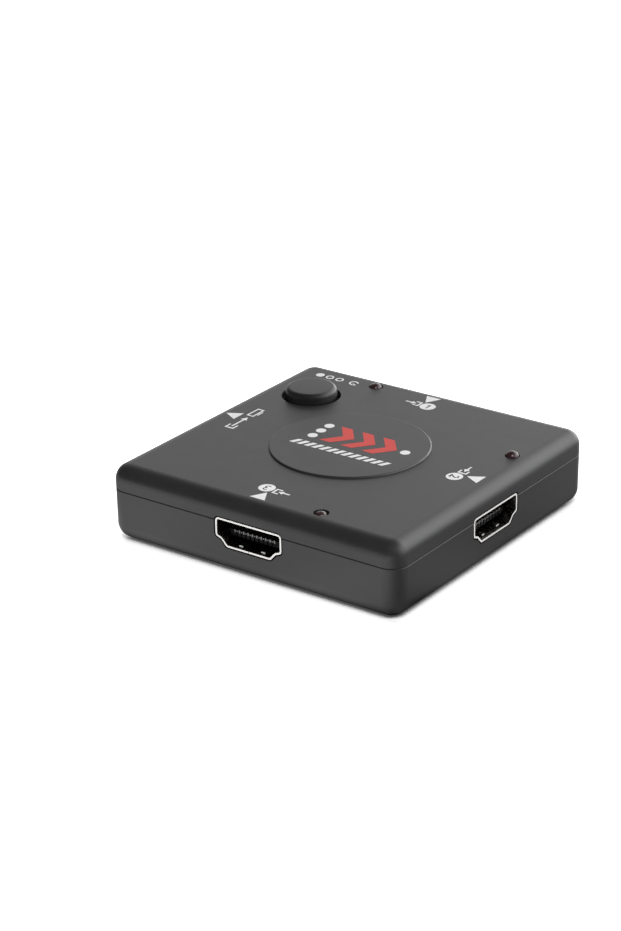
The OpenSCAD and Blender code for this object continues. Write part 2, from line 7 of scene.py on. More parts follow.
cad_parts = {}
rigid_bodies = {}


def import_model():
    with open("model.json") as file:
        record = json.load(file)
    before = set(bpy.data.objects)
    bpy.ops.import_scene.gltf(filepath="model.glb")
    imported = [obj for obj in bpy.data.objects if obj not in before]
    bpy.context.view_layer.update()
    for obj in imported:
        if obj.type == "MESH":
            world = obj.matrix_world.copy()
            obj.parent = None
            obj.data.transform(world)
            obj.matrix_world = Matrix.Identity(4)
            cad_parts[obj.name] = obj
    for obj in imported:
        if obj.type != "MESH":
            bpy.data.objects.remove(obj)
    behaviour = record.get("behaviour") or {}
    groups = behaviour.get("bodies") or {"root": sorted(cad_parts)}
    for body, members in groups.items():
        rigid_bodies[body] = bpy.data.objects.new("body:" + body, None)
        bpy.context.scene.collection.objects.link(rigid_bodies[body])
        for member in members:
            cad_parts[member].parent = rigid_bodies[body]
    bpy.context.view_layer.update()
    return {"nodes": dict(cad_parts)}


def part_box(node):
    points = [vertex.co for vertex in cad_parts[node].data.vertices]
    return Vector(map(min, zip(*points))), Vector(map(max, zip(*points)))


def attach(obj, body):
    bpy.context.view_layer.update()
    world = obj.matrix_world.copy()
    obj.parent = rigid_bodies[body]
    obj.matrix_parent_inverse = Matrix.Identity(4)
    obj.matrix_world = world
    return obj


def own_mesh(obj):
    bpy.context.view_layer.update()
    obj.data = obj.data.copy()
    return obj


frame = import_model()
nodes = frame["nodes"]
stage = bpy.context.scene.collection.objects

# ---------------------------------------------------------------- camera
# The box is seen from above its front right corner, from nearly half a metre away, through a long lens.
# Turn, rise, roll, lens and place were fitted to the outline, the parting line, the sockets and the lamps.
turn, rise, roll = math.radians(36.0046), math.radians(23.4350), math.radians(-0.8553)
aside, above, distance = -0.0077928, 0.0101464, 0.4926107
back = Vector((math.sin(turn) * math.cos(rise), -math.cos(turn) * math.cos(rise), math.sin(rise)))
level_right = Vector((math.cos(turn), math.sin(turn), 0))
level_up = back.cross(level_right)
right = level_right * math.cos(roll) + level_up * math.sin(roll)
up = level_up * math.cos(roll) - level_right * math.sin(roll)
camera = bpy.data.objects.new("camera", bpy.data.cameras.new("camera"))
camera.data.sensor_width = 36
camera.data.lens = 98.6672
camera.data.clip_start = 0.01
camera.data.clip_end = 20
facing_box = Matrix((right, up, back)).transposed().to_4x4()
camera.matrix_world = Matrix.Translation(right * aside + up * above + back * distance) @ facing_box
stage.link(camera)
bpy.context.scene.camera = camera
bpy.context.scene.view_settings.view_transform = "Standard"

# ---------------------------------------------------------------- table and light
# A sheet of white card, lit by one soft lamp from behind the camera, so that only a thin shadow lies round the box,
# and painted glow in the card for the camera keeps that shadow thin.
# It is open under the box and can't be seen from below, so that the underside shows.
# Shiny faces see a pale wall, a low strip and a soft box at the back, and card with a painted pool of light,
# brightest at the front left, and a painted shadow at the box's foot.


def add(tree, kind, links=(), **inputs):
    """One node of a tree: its links are (socket, output) pairs, its other inputs plain values by socket name."""
    node = tree.nodes.new(kind)
    for socket, value in inputs.items():
        node.inputs[socket.replace("_", " ")].default_value = value
    for socket, source in links:
        tree.links.new(source, node.inputs[socket])
    return node


def math_node(tree, operation, *values):
    """A Math node, each value a number or an output; more than two are joined in a row. Gives the result."""
    if len(values) > 2:
        values = math_node(tree, operation, *values[:-1]), values[-1]
    node = tree.nodes.new("ShaderNodeMath")
    node.operation = operation
    for socket, value in zip(node.inputs, values):
        if isinstance(value, (int, float)):
            socket.default_value = value
        else:
            tree.links.new(value, socket)
    return node.outputs["Value"]


def ramp_node(tree, value, low, high, to_low, to_high, smooth=True):
    """A Map Range node from low..high to to_low..to_high, eased at both ends or straight."""
    node = tree.nodes.new("ShaderNodeMapRange")
    node.interpolation_type = "SMOOTHSTEP" if smooth else "LINEAR"
    tree.links.new(value, node.inputs["Value"])
    for socket, number in (("From Min", low), ("From Max", high), ("To Min", to_low), ("To Max", to_high)):
        node.inputs[socket].default_value = number
    return node.outputs["Result"]


floor_half, floor_z = 3.0, -2e-5
floor_corners = [(x * floor_half, y * floor_half, floor_z) for x, y in ((-1, -1), (1, -1), (1, 1), (-1, 1))]
floor_mesh = bpy.data.meshes.new("floor")
floor_mesh.from_pydata(floor_corners, [], [(0, 1, 2, 3)])
floor = bpy.data.objects.new("floor", floor_mesh)
stage.link(floor)
card = bpy.data.materials.new("white_card")
card.use_nodes = True
tree = card.node_tree
tree.nodes.clear()
place = add(tree, "ShaderNodeTexCoord").outputs["Object"]
axes = add(tree, "ShaderNodeSeparateXYZ", [("Vector", place)]).outputs
fibre = add(tree, "ShaderNodeTexNoise", [("Vector", place)], Scale=900.0).outputs["Fac"]
tone = ramp_node(tree, fibre, 0, 1, 0.88, 0.92)
matt = add(tree, "ShaderNodeBsdfDiffuse", [("Color", tone)])
path = add(tree, "ShaderNodeLightPath").outputs

# How far a place is from the middle, as a square, and how the card brightens with that for the camera:
# in two steps at the foot of the box, then slowly, and at once at its left and its back.
# The brightening is partly a plain white backdrop and partly painted light: the steps at the foot paint the fading
# edge of the thin shadow there, and the step at the left and back paints out the lamp's shadow.
open_half, side_inset = 0.0300, 0.0004
from_x, from_y = (math_node(tree, "ABSOLUTE", axes[axis]) for axis in "XY")
away = math_node(tree, "MAXIMUM", math_node(tree, "ADD", from_x, side_inset), from_y)
backdrop_glow_with_painted_shadow = math_node(tree, "ADD",
                 ramp_node(tree, away, 0.0296, 0.0304, 0.0, 0.065),
                 ramp_node(tree, away, 0.0318, 0.0338, 0.0, 0.185),
                 ramp_node(tree, away, 0.036, 0.060, 0.0, 0.75),
                 ramp_node(tree, axes["X"], -0.0328, -0.0290, 0.75, 0.0),
                 ramp_node(tree, axes["Y"], 0.0275, 0.0325, 0.0, 0.35))
seen = add(tree, "ShaderNodeEmission", [("Strength", math_node(tree, "MULTIPLY", path["Is Camera Ray"], backdrop_glow_with_painted_shadow))])
plain = add(tree, "ShaderNodeAddShader", [(0, matt.outputs["BSDF"]), (1, seen.outputs["Emission"])])

# A painted pool of light on the card, seen only in the shiny faces: how bright it is by its bearing from the box in
# degrees.
painted_pool_levels = ((-150, 0.60), (-130, 1.50), (-110, 1.20), (-90, 1.12), (-70, 1.45), (-56, 1.28),
               (-46, 0.38), (-36, 0.03), (-24, 0.40), (-10, 0.43), (10, 0.28), (30, 0.33),
               (50, 0.48), (70, 0.80), (90, 1.10), (130, 1.50), (175, 0.80))
brightest = 2.0
bearing = ramp_node(tree, math_node(tree, "ARCTAN2", axes["Y"], axes["X"]), -math.pi, math.pi, 0.0, 1.0, False)
painted_pool = add(tree, "ShaderNodeValToRGB", [("Fac", bearing)])
stops = painted_pool.color_ramp.elements
for degrees, level in painted_pool_levels:
    stops.new((degrees + 180) / 360).color = (*[level / brightest] * 3, 1)
stops.remove(stops[-1])
stops.remove(stops[0])
# Painted shadow: in the shiny faces the card fades to dark towards the box's foot.
painted_shadow_under_edge = ramp_node(tree, away, 0.0306, 0.0353, 0.0, brightest)
mirrored = add(tree, "ShaderNodeEmission", [("Color", painted_pool.outputs["Color"]), ("Strength", painted_shadow_under_edge)])
shiny = math_node(tree, "MAXIMUM", path["Is Glossy Ray"], path["Is Transmission Ray"])
look = add(tree, "ShaderNodeMixShader",
           [(0, shiny), (1, plain.outputs["Shader"]), (2, mirrored.outputs["Emission"])])
below = add(tree, "ShaderNodeNewGeometry").outputs["Backfacing"]
gone = math_node(tree, "MAXIMUM", below, math_node(tree, "LESS_THAN", away, open_half))
clear = add(tree, "ShaderNodeBsdfTransparent")
one_sided = add(tree, "ShaderNodeMixShader",
                [(0, gone), (1, look.outputs["Shader"]), (2, clear.outputs["BSDF"])])
add(tree, "ShaderNodeOutputMaterial", [("Surface", one_sided.outputs["Shader"])])
floor_mesh.materials.append(card)

wall_level, glow_level, strip_level, soft_box_level = 0.865, 1.4, 4.5, 3.7
dark_level, sky_level, under_level = 0.02, 0.15, 0.45
room = bpy.data.worlds.new("studio")
bpy.context.scene.world = room
room.use_nodes = True
tree = room.node_tree
tree.nodes.clear()
aim = add(tree, "ShaderNodeTexCoord").outputs["Generated"]
axes = add(tree, "ShaderNodeSeparateXYZ", [("Vector", aim)]).outputs


def along(direction):
    """How far the studio's aim leans in a direction."""
    node = add(tree, "ShaderNodeVectorMath", [(0, aim)])
    node.operation = "DOT_PRODUCT"
    node.inputs[1].default_value = direction
    return node.outputs["Value"]


low_glow = math_node(tree, "MULTIPLY",
                     ramp_node(tree, axes["X"], -0.2, 0.5, 1.0, 0.0),
                     ramp_node(tree, axes["Z"], 0.0, 0.32, glow_level, 0.0))
wall = math_node(tree, "MULTIPLY",
                 ramp_node(tree, axes["Y"], 0.04, 0.595, 0.0, 1.0),
                 ramp_node(tree, axes["X"], -0.92, -0.66, 0.25, 1.0),
                 math_node(tree, "ADD", ramp_node(tree, axes["Z"], 0.44, 0.95, wall_level, 0.0), low_glow))
strip = math_node(tree, "MULTIPLY",
                  ramp_node(tree, axes["Y"], 0.80, 0.93, 0.0, 1.0),
                  ramp_node(tree, axes["X"], -0.60, -0.42, 0.0, 1.0),
                  ramp_node(tree, axes["Z"], 0.04, 0.24, strip_level, 0.0))
across = math_node(tree, "ABSOLUTE", along((-0.755, 0.656, 0.0)))
upward = math_node(tree, "ABSOLUTE", along((-0.349, -0.401, 0.847)))
soft_box = math_node(tree, "MULTIPLY",
                     ramp_node(tree, across, 0.364, 0.964, 1.0, 0.0),
                     ramp_node(tree, upward, 0.067, 0.667, 1.0, 0.0),
                     ramp_node(tree, along((0.556, 0.639, 0.531)), 0.1, 0.3, 0.0, soft_box_level))
mirrored = math_node(tree, "ADD", wall, strip, soft_box, dark_level)
path = add(tree, "ShaderNodeLightPath").outputs
shiny = math_node(tree, "MAXIMUM", path["Is Glossy Ray"], path["Is Transmission Ray"])
more_in_shine = math_node(tree, "MULTIPLY", shiny, math_node(tree, "SUBTRACT", mirrored, sky_level))
from_below = ramp_node(tree, axes["Z"], -0.30, -0.10, under_level, 0.0)
level = math_node(tree, "ADD", more_in_shine, sky_level, from_below)
sky = add(tree, "ShaderNodeBackground", [("Strength", level)])
add(tree, "ShaderNodeOutputWorld", [("Surface", sky.outputs["Background"])])

lamp = bpy.data.lights.new("fill_lamp", "AREA")
lamp.shape = "SQUARE"
lamp.size = 0.45
lamp.energy = 8.6
lamp_distance = 0.9
lamp_aim = Vector((0.42, -0.40, 0.815)).normalized()
lamp_object = bpy.data.objects.new("fill_lamp", lamp)
lamp_object.location = lamp_aim * lamp_distance
lamp_object.rotation_mode = "QUATERNION"
lamp_object.rotation_quaternion = lamp_aim.to_track_quat("Z", "Y")
lamp_object.visible_glossy = False
stage.link(lamp_object)

# ---------------------------------------------------------------- case
# The two halves of the shell, injection moulded in black styrene with a fine spark-eroded skin.
# The halves meet at the parting line, and four screws from below pull them together.


def group_sockets(group, in_out, kind, *names):
    """Gives a node group inputs or outputs of one kind."""
    for name in names:
        group.interface.new_socket(name, in_out=in_out, socket_type="NodeSocket" + kind)


def blank(name):
    """A new material, with its tree, its shader and its object coordinates."""
    material = bpy.data.materials.new(name)
    material.use_nodes = True
    tree = material.node_tree
    return material, tree, tree.nodes["Principled BSDF"], add(tree, "ShaderNodeTexCoord").outputs["Object"]


def two_tones(tree, value, low, high, dark, light):
    """The colour from dark to light as a value goes from low to high."""
    node = add(tree, "ShaderNodeValToRGB", [("Fac", value)])
    first, last = node.color_ramp.elements
    first.position, first.color = low, (*dark, 1)
    last.position, last.color = high, (*light, 1)
    return node.outputs["Color"]


grain = bpy.data.node_groups.new("moulded_grain", "ShaderNodeTree")
group_sockets(grain, "INPUT", "Vector", "Vector")
group_sockets(grain, "INPUT", "Float", "Grains per metre", "Clouds per metre")
group_sockets(grain, "OUTPUT", "Float", "Grain", "Clouds")
given = grain.nodes.new("NodeGroupInput").outputs
pits = add(grain, "ShaderNodeTexNoise", [("Vector", given["Vector"]), ("Scale", given["Grains per metre"])],
           Detail=3.0, Roughness=0.6)
clouds = add(grain, "ShaderNodeTexNoise", [("Vector", given["Vector"]), ("Scale", given["Clouds per metre"])],
             Detail=4.0, Roughness=0.55)
add(grain, "NodeGroupOutput", [("Grain", pits.outputs["Fac"]), ("Clouds", clouds.outputs["Fac"])])


def moulded(name, dark, light, smooth, rough, gloss, depth, grains=7000.0, clouds=260.0):
    """Moulded plastic: clouds of two near tones, a slightly uneven sheen and a fine pitted skin."""
    material, tree, skin, place = blank(name)
    skin.inputs["Specular IOR Level"].default_value = gloss
    texture = tree.nodes.new("ShaderNodeGroup")
    texture.node_tree = grain
    tree.links.new(place, texture.inputs["Vector"])
    texture.inputs["Grains per metre"].default_value = grains
    texture.inputs["Clouds per metre"].default_value = clouds
    tones = two_tones(tree, texture.outputs["Clouds"], 0.3, 0.7, dark, light)
    tree.links.new(tones, skin.inputs["Base Color"])
    tree.links.new(ramp_node(tree, texture.outputs["Clouds"], 0.3, 0.7, smooth, rough), skin.inputs["Roughness"])
    relief = add(tree, "ShaderNodeBump", [("Height", texture.outputs["Grain"])], Strength=1.0, Distance=depth)
    tree.links.new(relief.outputs["Normal"], skin.inputs["Normal"])
    return material


def dress(material, *names):
    """Gives the CAD nodes of these names this material alone."""
    for name in names:
        nodes[name].data.materials.clear()
        nodes[name].data.materials.append(material)


case_plastic = moulded("case_plastic", (0.0185, 0.0185, 0.0190), (0.0215, 0.0215, 0.0220),
                       smooth=0.385, rough=0.415, gloss=0.5, depth=4e-6)
dress(case_plastic, "bottom_case", "top_cover")

# ---------------------------------------------------------------- printed marks
# Pad-printed white ink on the cover: an arrowhead at each socket, pointing in at the inputs and out at the output,
# the input numbers left bare in white discs, and plain signs for input, output and choosing.
mm = 0.001
lens_proud = 0.0007
top_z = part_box("lamp_1_lens")[1].z - lens_proud
ink_thickness, ink_sunk = 0.02, 0.002


def ink(name, low, high):
    """Printing ink: a matt film with faint uneven cover."""
    material, tree, film, place = blank(name)
    film.inputs["Specular IOR Level"].default_value = 0.3
    cover = add(tree, "ShaderNodeTexNoise", [("Vector", place)], Scale=2600.0, Detail=3.0).outputs["Fac"]
    tree.links.new(two_tones(tree, cover, 0.3, 0.6, low, high), film.inputs["Base Color"])
    tree.links.new(ramp_node(tree, cover, 0.3, 0.7, 0.5, 0.62), film.inputs["Roughness"])
    return material


white_ink = ink("white_ink", (0.76, 0.76, 0.755), (0.85, 0.85, 0.845))


def finish_piece(name, mesh):
    """A finished mesh becomes a piece that rides on the case."""
    mesh.name = name
    piece = bpy.data.objects.new(name, mesh)
    stage.link(piece)
    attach(piece, "case")


def printed(name, material, outlines, x, y, degrees=0.0, z=top_z):
    """Ink inside closed outlines in millimetres, filled between outer and inner ones and laid on the cover."""
    shape = bpy.data.curves.new(name, "CURVE")
    shape.dimensions = "2D"
    shape.fill_mode = "BOTH"
    shape.extrude = ink_thickness / 2
    for outline in outlines:
        spline = shape.splines.new("POLY")
        spline.points.add(len(outline) - 1)
        for point, (px, py) in zip(spline.points, outline):
            point.co = (px, py, 0, 1)
        spline.use_cyclic_u = True
    drawn = bpy.data.objects.new(name, shape)
    stage.link(drawn)
    mesh = bpy.data.meshes.new_from_object(drawn.evaluated_get(bpy.context.evaluated_depsgraph_get()))
    bpy.data.objects.remove(drawn)
    middle = Vector((x * mm, y * mm, z + (ink_thickness / 2 - ink_sunk) * mm))
    turned = Matrix.Rotation(math.radians(degrees), 4, "Z")
    mesh.transform(Matrix.Translation(middle) @ turned @ Matrix.Scale(mm, 4))
    mesh.materials.clear()
    mesh.materials.append(material)
    finish_piece(name, mesh)


def arc(cx, cy, radius, start, end, steps):
    """Points along an arc, its ends in degrees."""
    angles = [math.radians(start + (end - start) * i / steps) for i in range(steps + 1)]
    return [(cx + radius * math.cos(angle), cy + radius * math.sin(angle)) for angle in angles]


def circle(cx, cy, radius, count):
    """Points round a circle."""
    return arc(cx, cy, radius, 0, 360 - 360 / count, count - 1)


def stroke(points, width):
    """Outline of a line of this width along the points."""
    left_side, right_side = [], []
    for i, (x, y) in enumerate(points):
        ahead = Vector(points[min(i + 1, len(points) - 1)]) - Vector(points[i])
        behind = Vector(points[i]) - Vector(points[max(i - 1, 0)])
        a, b = (ahead or behind).normalized(), (behind or ahead).normalized()
        side = Vector((-a.y - b.y, a.x + b.x))
        side = side / side.length_squared * width
        left_side.append((x + side.x, y + side.y))
        right_side.append((x - side.x, y - side.y))
    return left_side + right_side[::-1]


disc = circle(0, 0, 1.62, 48)
figure_1 = [(-0.02, -0.95), (0.32, -0.95), (0.32, 0.95), (0.04, 0.95), (-0.42, 0.62), (-0.42, 0.28), (-0.02, 0.5)]
figure_2 = stroke(arc(0, 0.4, 0.42, 165, -35, 12) + [(0.05, -0.25), (-0.42, -0.8), (0.58, -0.8)], 0.32)
figure_3 = (arc(0, 0.44, 0.56, 150, -48, 12) + arc(0, -0.42, 0.60, 52, -150, 12)
            + arc(0, -0.42, 0.29, -150, 75, 12) + [(-0.16, -0.13), (-0.16, 0.18)]
            + arc(0, 0.44, 0.26, -75, 150, 12))
printed("number_1", white_ink, [disc, figure_1], 1.33, 24.86, 0)
printed("number_2", white_ink, [disc, figure_2], 24.25, -1.05, -90)
printed("number_3", white_ink, [disc, figure_3], -1.51, -24.63, 180)

door = [(0.35, 1.0), (1.75, 1.0), (1.75, -1.0), (0.35, -1.0),
        (0.35, -0.66), (1.37, -0.66), (1.37, 0.66), (0.35, 0.66)]
way_in = [(-1.75, 0.18), (-0.3, 0.18), (-0.3, 0.62), (0.85, 0), (-0.3, -0.62), (-0.3, -0.18), (-1.75, -0.18)]
printed("sign_in_1", white_ink, [door, way_in], -2.25, 25.08, 0)
printed("sign_in_2", white_ink, [door, way_in], 24.6, 2.58, -90)
printed("sign_in_3", white_ink, [door, way_in], 2.15, -24.95, 180)

tray = [(-3.7, 1.05), (-5.5, 1.05), (-5.5, -1.05), (-3.7, -1.05),
        (-3.7, -0.7), (-5.12, -0.7), (-5.12, 0.7), (-3.7, 0.7)]
way_out = [(-4.5, 0.19), (-0.7, 0.19), (-0.7, 0.72), (0.75, 0), (-0.7, -0.72), (-0.7, -0.19), (-4.5, -0.19)]
screen = [(1.6, 1.05), (5.5, 1.05), (5.5, -0.62), (1.6, -0.62)]
screen_glass = [(1.94, 0.71), (5.16, 0.71), (5.16, -0.28), (1.94, -0.28)]
screen_foot = [(2.6, -1.05), (4.5, -1.05), (4.5, -0.8), (2.6, -0.8)]
printed("sign_out", white_ink, [tray, way_out, screen, screen_glass, screen_foot], -24.86, -0.15, 90)

full_spot, first_ring, second_ring = -4.6, -2.2, 0.2
rings = ([circle(x, 0, 0.9, 24) for x in (full_spot, first_ring, second_ring)]
         + [circle(x, 0, 0.56, 24) for x in (first_ring, second_ring)])
loop_x = 3.7
loop = arc(loop_x, 0, 1.0, 20, 300, 20) + arc(loop_x, 0, 0.66, 300, 20, 20)
loop_tip = [(loop_x + x, y) for x, y in ((0.14, -1.28), (1.02, -0.62), (0.0, -0.22))]
printed("sign_select", white_ink, rings + [loop, loop_tip], -21.7, 27.1, 0)

closed_ink = bpy.data.node_groups.new("closed_ink", "GeometryNodeTree")
group_sockets(closed_ink, "INPUT", "Geometry", "Face")
group_sockets(closed_ink, "INPUT", "Float", "Thickness")
group_sockets(closed_ink, "OUTPUT", "Geometry", "Slab")
given = closed_ink.nodes.new("NodeGroupInput").outputs
raised = add(closed_ink, "GeometryNodeExtrudeMesh", [("Mesh", given["Face"]), ("Offset Scale", given["Thickness"])])
under = add(closed_ink, "GeometryNodeFlipFaces", [("Mesh", given["Face"])])
both = add(closed_ink, "GeometryNodeJoinGeometry",
           [("Geometry", raised.outputs["Mesh"]), ("Geometry", under.outputs["Mesh"])])
sealed = add(closed_ink, "GeometryNodeMergeByDistance", [("Geometry", both.outputs["Geometry"])], Distance=1e-7)
add(closed_ink, "NodeGroupOutput", [("Slab", sealed.outputs["Geometry"])])


def inked_slab(tree, face, thickness):
    """The closed slab of ink on a face; gives its output."""
    node = tree.nodes.new("GeometryNodeGroup")
    node.node_tree = closed_ink
    tree.links.new(face, node.inputs["Face"])
    tree.links.new(thickness, node.inputs["Thickness"])
    return node.outputs["Slab"]


def end_tree(tree, points, instance, material, output, rotation=()):
    """Ends a tree: the instance on each point, made real, with its material set."""
    placed = add(tree, "GeometryNodeInstanceOnPoints", [("Points", points), ("Instance", instance), *rotation])
    real = add(tree, "GeometryNodeRealizeInstances", [("Geometry", placed.outputs["Instances"])])
    coated = add(tree, "GeometryNodeSetMaterial", [("Geometry", real.outputs["Geometry"]), ("Material", material)])
    add(tree, "NodeGroupOutput", [(output, coated.outputs["Geometry"])])


arrow_tree = bpy.data.node_groups.new("arrowheads", "GeometryNodeTree")
group_sockets(arrow_tree, "INPUT", "Geometry", "Places")
group_sockets(arrow_tree, "INPUT", "Float", "Width", "Length", "Thickness")
group_sockets(arrow_tree, "INPUT", "Material", "Ink")
group_sockets(arrow_tree, "OUTPUT", "Geometry", "Marks")
given = arrow_tree.nodes.new("NodeGroupInput").outputs
unit_length, unit_width = 1.5, 3 ** 0.5
triangle = add(arrow_tree, "GeometryNodeMeshCircle", Vertices=3, Radius=1.0)
triangle.fill_type = "NGON"
size = add(arrow_tree, "ShaderNodeCombineXYZ",
           [("X", math_node(arrow_tree, "DIVIDE", given["Length"], unit_length)),
            ("Y", math_node(arrow_tree, "DIVIDE", given["Width"], unit_width))], Z=1.0)
shaped = add(arrow_tree, "GeometryNodeTransform",
             [("Geometry", triangle.outputs["Mesh"]), ("Scale", size.outputs["Vector"])])
heading = add(arrow_tree, "GeometryNodeInputNamedAttribute", Name="heading")
heading.data_type = "FLOAT"
spin = add(arrow_tree, "ShaderNodeCombineXYZ", [("Z", heading.outputs["Attribute"])])
facing = add(arrow_tree, "FunctionNodeEulerToRotation", [("Euler", spin.outputs["Vector"])])
end_tree(arrow_tree, given["Places"], inked_slab(arrow_tree, shaped.outputs["Geometry"], given["Thickness"]),
         given["Ink"], "Marks", [("Rotation", facing.outputs["Rotation"])])


def grown(name, tree, points, slot, headings=None, **inputs):
    """Points run through a Geometry Nodes tree, then kept as a plain mesh that rides on the case."""
    mesh = bpy.data.meshes.new(name)
    mesh.from_pydata([Vector(point) for point in points], [], [])
    if headings:
        mesh.attributes.new("heading", "FLOAT", "POINT").data.foreach_set("value", headings)
    seed = bpy.data.objects.new(name, mesh)
    stage.link(seed)
    modifier = seed.modifiers.new("grow", "NODES")
    modifier.node_group = tree
    for item in tree.interface.items_tree:
        if item.in_out == "INPUT" and item.name in inputs:
            modifier[item.identifier] = inputs[item.name]
    grown_mesh = bpy.data.meshes.new_from_object(seed.evaluated_get(bpy.context.evaluated_depsgraph_get()))
    seed.modifiers.clear()
    bpy.data.objects.remove(seed)
    finish_piece(name, grown_mesh)


ink_floor = top_z - ink_sunk * mm
arrow_spots = ((-0.0002, -0.0284), (0.0282, 0.0003), (-0.0002, 0.02848), (-0.0278, 0.00015))
grown("arrowheads", arrow_tree, [(x, y, ink_floor) for x, y in arrow_spots], "case",
      headings=[math.pi / 2, math.pi, -math.pi / 2, math.pi],
      Width=0.0034, Length=0.0031, Thickness=ink_thickness * mm, Ink=white_ink)

# ---------------------------------------------------------------- print on the raised pad
# A plain mark in red and white ink for what the box does: chevrons lead from three dots to one,
# with a row of slanted dashes below them.
pad_height = 0.00035
pad_z = top_z + pad_height
red_ink = ink("red_ink", (0.52, 0.066, 0.058), (0.62, 0.085, 0.075))
chevron = [(0, 6.3), (2.6, 6.3), (5.6, 2.5), (2.6, -1.3), (0, -1.3), (3.0, 2.5)]
chevrons = [[(left + x, y) for x, y in chevron] for left in (-6.4, -1.5, 3.4)]
printed("chevrons", red_ink, chevrons, 0, 0, 0, pad_z)
dot_spots = ((-8.6, 5.3), (-8.6, 2.5), (-8.6, -0.3), (10.9, 2.5))
printed("dots", white_ink, [circle(x, y, 1.0, 24) for x, y in dot_spots], 0, 0, 0, pad_z)

dash_tree = bpy.data.node_groups.new("dash_row", "GeometryNodeTree")
group_sockets(dash_tree, "INPUT", "Geometry", "Start")
group_sockets(dash_tree, "INPUT", "Int", "Count")
group_sockets(dash_tree, "INPUT", "Float", "Spacing", "Width", "Height", "Slant", "Thickness")
group_sockets(dash_tree, "INPUT", "Material", "Ink")
group_sockets(dash_tree, "OUTPUT", "Geometry", "Marks")
given = dash_tree.nodes.new("NodeGroupInput").outputs
step = add(dash_tree, "ShaderNodeCombineXYZ", [("X", given["Spacing"])])
row = add(dash_tree, "GeometryNodeMeshLine", [("Count", given["Count"]), ("Offset", step.outputs["Vector"])])
rows = add(dash_tree, "GeometryNodeInstanceOnPoints", [("Points", given["Start"]), ("Instance", row.outputs["Mesh"])])
spots = add(dash_tree, "GeometryNodeRealizeInstances", [("Geometry", rows.outputs["Instances"])])
dash = add(dash_tree, "GeometryNodeMeshGrid", [("Size X", given["Width"]), ("Size Y", given["Height"])],
           Vertices_X=2, Vertices_Y=2)
position = dash_tree.nodes.new("GeometryNodeInputPosition").outputs["Position"]
corner = add(dash_tree, "ShaderNodeSeparateXYZ", [("Vector", position)])
lean = add(dash_tree, "ShaderNodeCombineXYZ",
           [("X", math_node(dash_tree, "MULTIPLY", corner.outputs["Y"], given["Slant"]))])
leaning = add(dash_tree, "GeometryNodeSetPosition",
              [("Geometry", dash.outputs["Mesh"]), ("Offset", lean.outputs["Vector"])])
end_tree(dash_tree, spots.outputs["Geometry"],
         inked_slab(dash_tree, leaning.outputs["Geometry"], given["Thickness"]), given["Ink"], "Marks")
grown("dashes", dash_tree, [(-0.0097, -0.0042, pad_z - ink_sunk * mm)], "case",
      Count=13, Spacing=0.0017, Width=0.0010, Height=0.0019, Slant=0.5,
      Thickness=ink_thickness * mm, Ink=white_ink)

# ---------------------------------------------------------------- select button
# One round cap in a smoother, blacker plastic than the case, with a flat top and a rounded rim.
# It drops through its hole from inside, held by a flange, and rests on the push switch.
button_plastic = moulded("button_plastic", (0.0112, 0.0112, 0.0117), (0.0128, 0.0128, 0.0133),
                         smooth=0.39, rough=0.42, gloss=0.50, depth=3e-6, grains=9000.0)
dress(button_plastic, "select_button")

# ---------------------------------------------------------------- sockets
# Each socket is a folded, nickel-plated steel shell round a black nylon block with a tongue. Its cut edges are satin,
# painted pale as a highlight.
# Nineteen plated contacts lie in grooves of the tongue, their tips set in its nose,
# and two springs are cut in the shell's floor.
rolled = bpy.data.node_groups.new("rolled_metal", "ShaderNodeTree")
group_sockets(rolled, "INPUT", "Vector", "Vector", "Lines per metre")
group_sockets(rolled, "OUTPUT", "Float", "Lines", "Stain")
given = rolled.nodes.new("NodeGroupInput").outputs
stretched = add(rolled, "ShaderNodeVectorMath", [(0, given["Vector"]), (1, given["Lines per metre"])])
stretched.operation = "MULTIPLY"
fine = add(rolled, "ShaderNodeTexNoise", [("Vector", stretched.outputs["Vector"])],
           Scale=1.0, Detail=4.0, Roughness=0.65)
stain = add(rolled, "ShaderNodeTexNoise", [("Vector", given["Vector"])], Scale=420.0, Detail=3.0)
add(rolled, "NodeGroupOutput", [("Lines", fine.outputs["Fac"]), ("Stain", stain.outputs["Fac"])])


def plated(name, dull, bright, smooth, rough, lines, depth):
    """Plated or bare metal: fine rolling lines, faint stains in the tone and an uneven polish."""
    material, tree, plate, place = blank(name)
    plate.inputs["Metallic"].default_value = 1
    texture = tree.nodes.new("ShaderNodeGroup")
    texture.node_tree = rolled
    tree.links.new(place, texture.inputs["Vector"])
    texture.inputs["Lines per metre"].default_value = lines
    tones = two_tones(tree, texture.outputs["Stain"], 0.3, 0.65, dull, bright)
    tree.links.new(tones, plate.inputs["Base Color"])
    tree.links.new(ramp_node(tree, texture.outputs["Lines"], 0.3, 0.7, smooth, rough), plate.inputs["Roughness"])
    relief = add(tree, "ShaderNodeBump", [("Height", texture.outputs["Lines"])], Strength=1.0, Distance=depth)
    tree.links.new(relief.outputs["Normal"], plate.inputs["Normal"])
    return material


def mix_colour(tree, factor, colour, other):
    """The colour of an output, turned to a plain one by a factor."""
    first, second, result = 6, 7, 2
    node = tree.nodes.new("ShaderNodeMix")
    node.data_type = "RGBA"
    tree.links.new(factor, node.inputs["Factor"])
    tree.links.new(colour, node.inputs[first])
    node.inputs[second].default_value = (*other, 1)
    return node.outputs[result]


sides = ("in_1", "in_2", "in_3", "out")
nickel = plated("nickel_plate", (0.66, 0.635, 0.61), (0.76, 0.735, 0.705),
                smooth=0.22, rough=0.34, lines=(1500, 1500, 9000), depth=1.5e-6)
